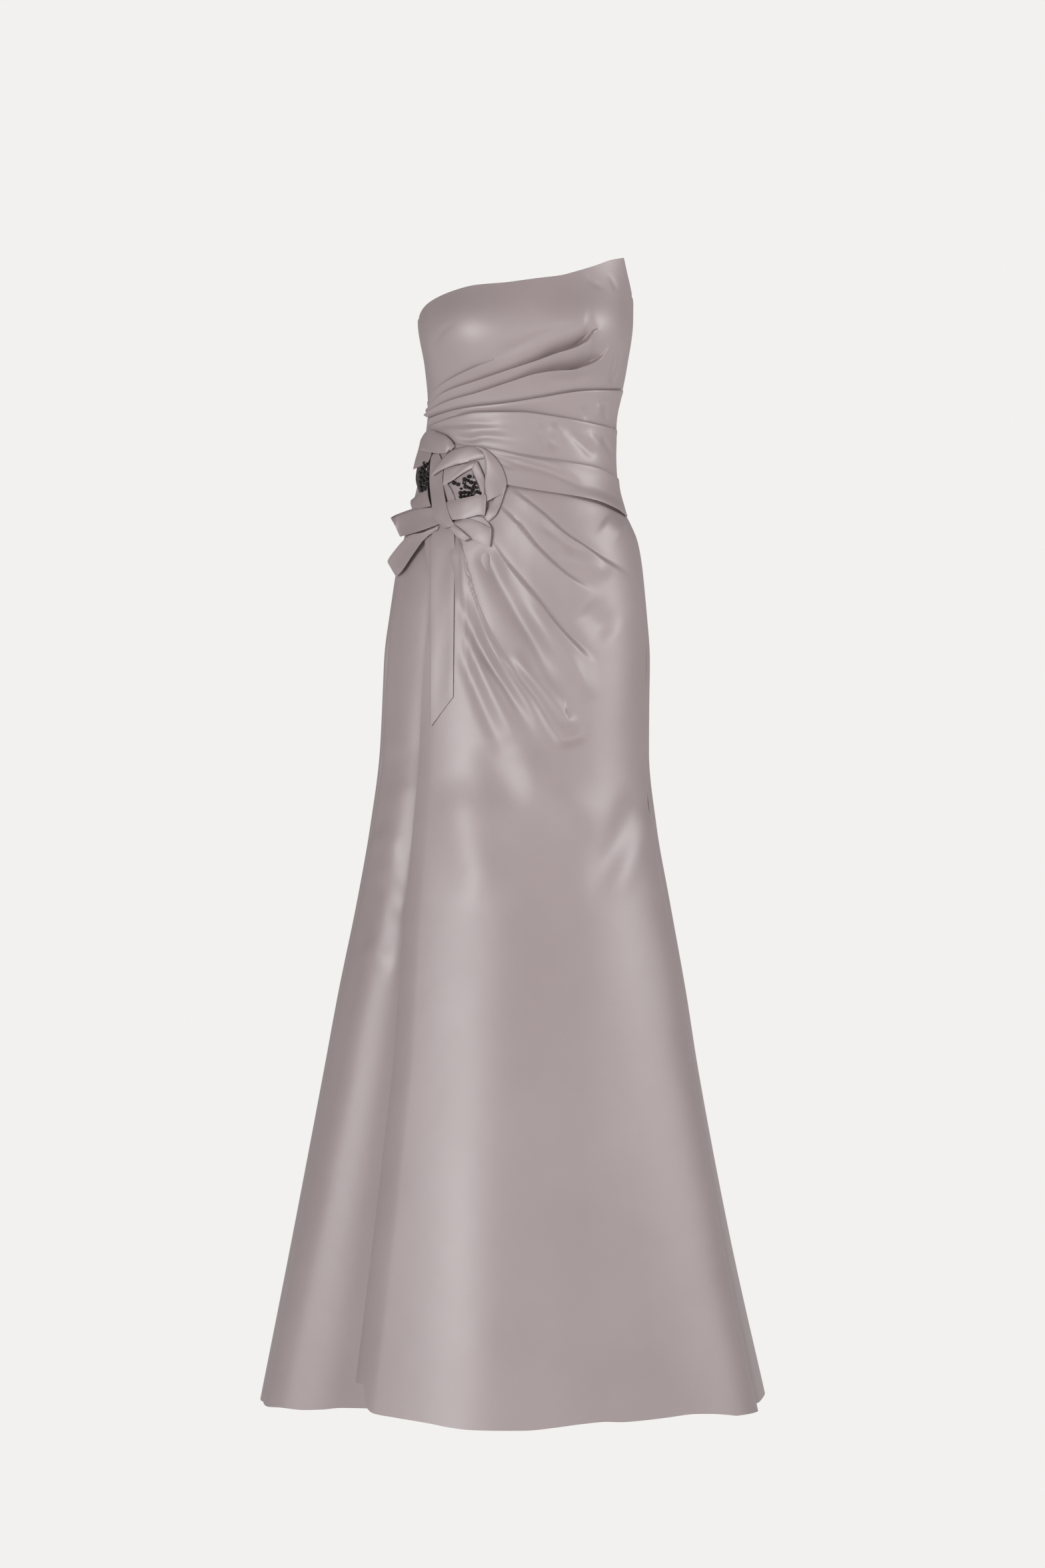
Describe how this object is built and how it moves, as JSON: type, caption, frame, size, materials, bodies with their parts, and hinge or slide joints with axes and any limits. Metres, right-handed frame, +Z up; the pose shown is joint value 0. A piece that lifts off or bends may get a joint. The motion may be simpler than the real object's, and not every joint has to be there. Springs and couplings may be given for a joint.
{
  "type": "evening gown",
  "caption": "Strapless full-length satin gown in its worn shape, draped bodice and waist wrap, wrapped trumpet skirt and a ribbon corsage on the hip.",
  "frame": {"origin": "middle of the bodice at the underarm line, where the wearer's torso holds the gown up", "axes": "+Z up, the front faces -Y, +X towards the wearer's left, which is the viewer's right in the front view"},
  "size_m": [0.6037, 0.5243, 1.372],
  "materials": {
    "satin": "dusty mauve satin-faced silk or polyester, soft sheen",
    "bead_ground": "dark net that carries the beads",
    "zip_metal": "painted to match the cloth"
  },
  "bodies": {
    "gown": {"bodice_front": "satin", "waist_wrap_upper": "satin", "waist_wrap_middle": "satin", "waist_wrap_lower": "satin", "bodice_back_left": "satin", "bodice_back_right": "satin", "skirt_front": "satin", "skirt_underlap": "satin", "skirt_back_left": "satin", "skirt_back_right": "satin", "bow_tail": "satin", "bow_loop_upper_left": "satin", "bow_loop_lower_left": "satin", "bow_loop_upper_right": "satin", "bow_loop_lower_right": "satin", "knot_strap": "satin", "knot_end": "satin", "rosette_front_ground": "satin", "rosette_front_lower_right": "satin", "rosette_front_top": "satin", "rosette_front_right": "satin", "rosette_front_inner_top": "satin", "rosette_front_inner_right": "satin", "rosette_front_inner_left": "satin", "rosette_side_ground": "bead_ground", "rosette_side_top": "satin", "rosette_side_left": "satin", "rosette_side_bottom": "satin", "zip_slider": "zip_metal"},
    "zip_pull": {"zip_pull": "zip_metal"}
  },
  "joints": [
    {"name": "pull_hinge", "type": "hinge", "parent": "gown", "child": "zip_pull", "pos_m": [0, 0.09877, -0.034], "axis": [1, 0, 0], "range_deg": [0, 160]}
  ]
}
